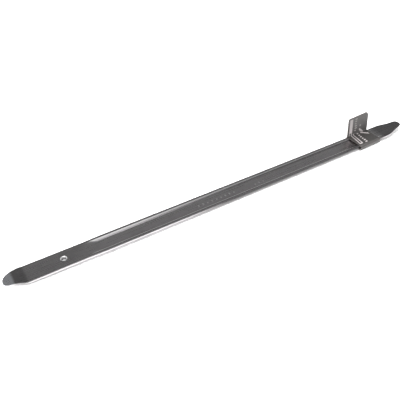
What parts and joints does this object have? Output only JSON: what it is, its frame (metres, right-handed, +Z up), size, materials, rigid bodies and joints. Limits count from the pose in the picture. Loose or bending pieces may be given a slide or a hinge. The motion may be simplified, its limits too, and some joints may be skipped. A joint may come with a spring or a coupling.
{
  "type": "tyre lever",
  "caption": "Forged steel pry bar of the tyre lever kind, with a spoon end, a raised tongue end, a hanging hole and a card label looped round the shank",
  "frame": {"origin": "middle of the lever's length and width, on the plane that it lies on", "axes": "+X along the lever from the spoon end to the tongue end, +Y across it towards the flag, +Z up"},
  "size_m": [0.6, 0.0343, 0.0372],
  "materials": {
    "forged_steel": "satin polished forging",
    "printed_card": "matt black print"
  },
  "bodies": {
    "lever": {"lever_bar": "forged_steel"},
    "label": {"label_loop": "printed_card"},
    "flag": {"flag_front_leaf": "printed_card", "flag_back_leaf": "printed_card"}
  },
  "joints": [
    {"name": "label_slide", "type": "slide", "parent": "lever", "child": "label", "axis": [1, 0, 0], "range_m": [-0.465, 0.012]},
    {"name": "flag_fold", "type": "hinge", "parent": "label", "child": "flag", "pos_m": [0.226, 0.01305, 0.0077], "axis": [1, 0, 0], "range_deg": [-80, 92]}
  ]
}
